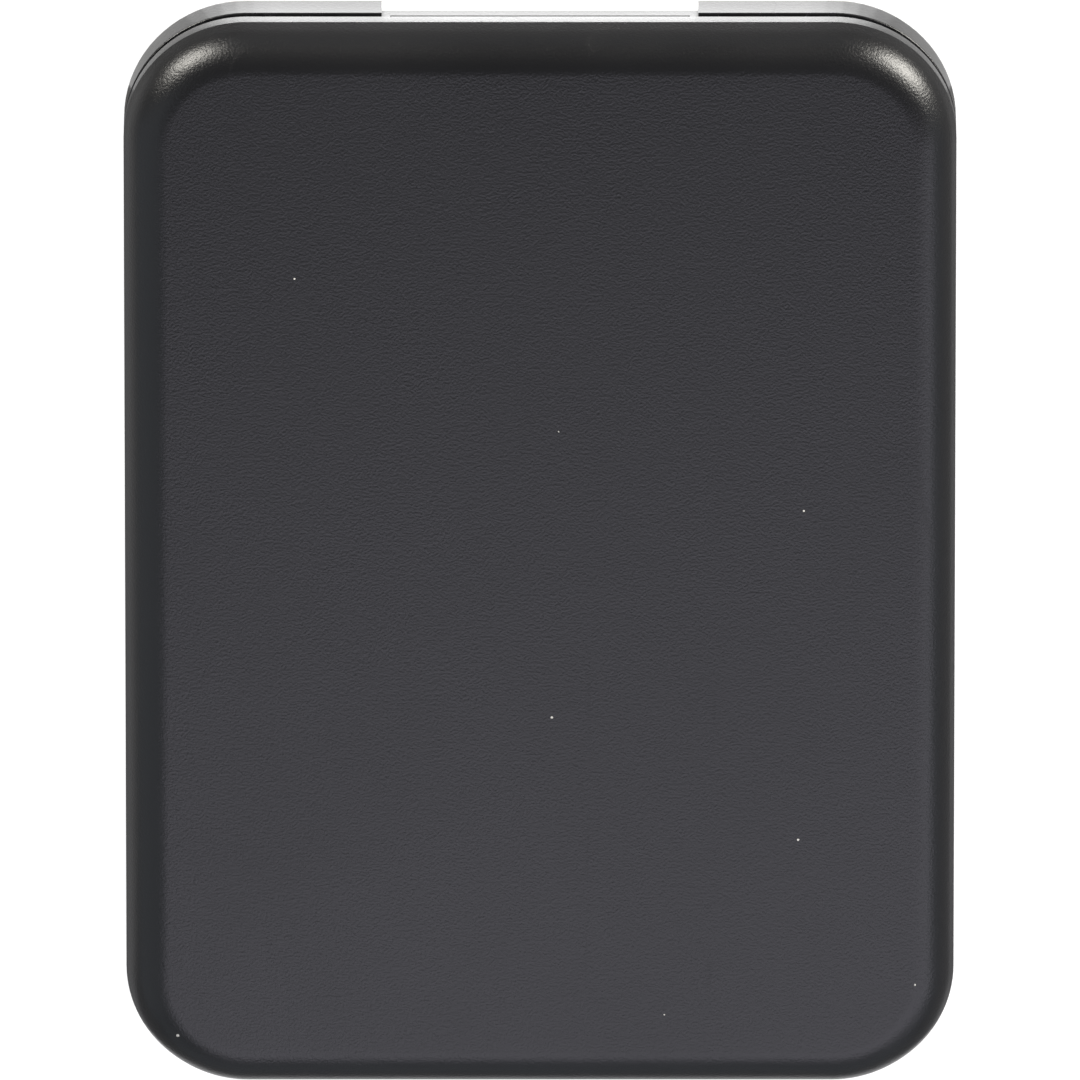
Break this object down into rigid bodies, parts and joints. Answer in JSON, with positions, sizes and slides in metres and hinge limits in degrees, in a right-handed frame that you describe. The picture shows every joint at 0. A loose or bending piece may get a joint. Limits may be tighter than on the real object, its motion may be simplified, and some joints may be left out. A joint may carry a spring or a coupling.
{
  "type": "logic analyzer",
  "caption": "Slim palm-size logic analyzer: two-shell black case with a probe connector bay at one end and a USB-C socket, status light and capture button at the other.",
  "frame": {"origin": "middle of the case, on the plane that the feet rest on", "axes": "+Z out of the cover's face, +Y towards the probe connector's end, X across the width"},
  "size_m": [0.08, 0.1084, 0.012],
  "materials": {
    "cover_shell": "fine-textured satin black",
    "tray_shell": "fine-textured satin black",
    "port_panel": "satin black",
    "screw_steel": "black zinc",
    "insert_brass": "turned",
    "label": "blank satin film",
    "sheet": "fibre sheet",
    "board": "solder mask",
    "foot_rubber": "matte",
    "gold_contact": "gold plated",
    "connector_plastic": "moulded",
    "socket_steel": "nickel plated",
    "button": "fine texture",
    "light_pipe": "clear",
    "chip_package": "moulded epoxy",
    "thermal_pad": "soft silicone",
    "heat_sink": "black anodised",
    "metal_lid": "lidded package",
    "ferrite": "ferrite",
    "tantalum": "moulded",
    "ceramic_part": "fired ceramic",
    "led": "clear lens"
  },
  "bodies": {
    "case": {"top_cover": "cover_shell", "bottom_tray": "tray_shell", "probe_port_panel": "port_panel", "usb_port_panel": "port_panel", "case_screws": "screw_steel", "threaded_inserts": "insert_brass", "blank_label": "label", "insulating_sheet": "sheet", "main_board": "board", "foot_front_left": "foot_rubber", "foot_front_right": "foot_rubber", "foot_rear_left": "foot_rubber", "foot_rear_right": "foot_rubber", "probe_header_pins": "gold_contact", "probe_header_housing": "connector_plastic", "usb_socket_shell": "socket_steel", "usb_socket_tongue": "connector_plastic", "usb_socket_contacts": "gold_contact", "switch_body": "connector_plastic", "light_pipe": "light_pipe", "fpga_chip": "chip_package", "thermal_pad": "thermal_pad", "heat_sink": "heat_sink", "memory_chip": "chip_package", "flash_chip": "chip_package", "clock_oscillator": "metal_lid", "usb_controller_chip": "chip_package", "usb_crystal": "metal_lid", "input_resistor_arrays": "ceramic_part", "surge_arrays": "chip_package", "voltage_regulators": "chip_package", "power_inductors": "ferrite", "bulk_capacitors": "tantalum", "ceramic_capacitors": "ceramic_part", "status_led": "led", "input_buffer_1": "chip_package", "input_buffer_2": "chip_package", "input_buffer_3": "chip_package", "input_buffer_4": "chip_package"},
    "capture_button": {"button_cap": "button", "switch_plunger": "connector_plastic"}
  },
  "joints": [
    {"name": "button_press", "type": "slide", "parent": "case", "child": "capture_button", "axis": [0, 1, 0], "range_m": [0, 0.00035], "stiffness_N_per_m": 1500}
  ]
}
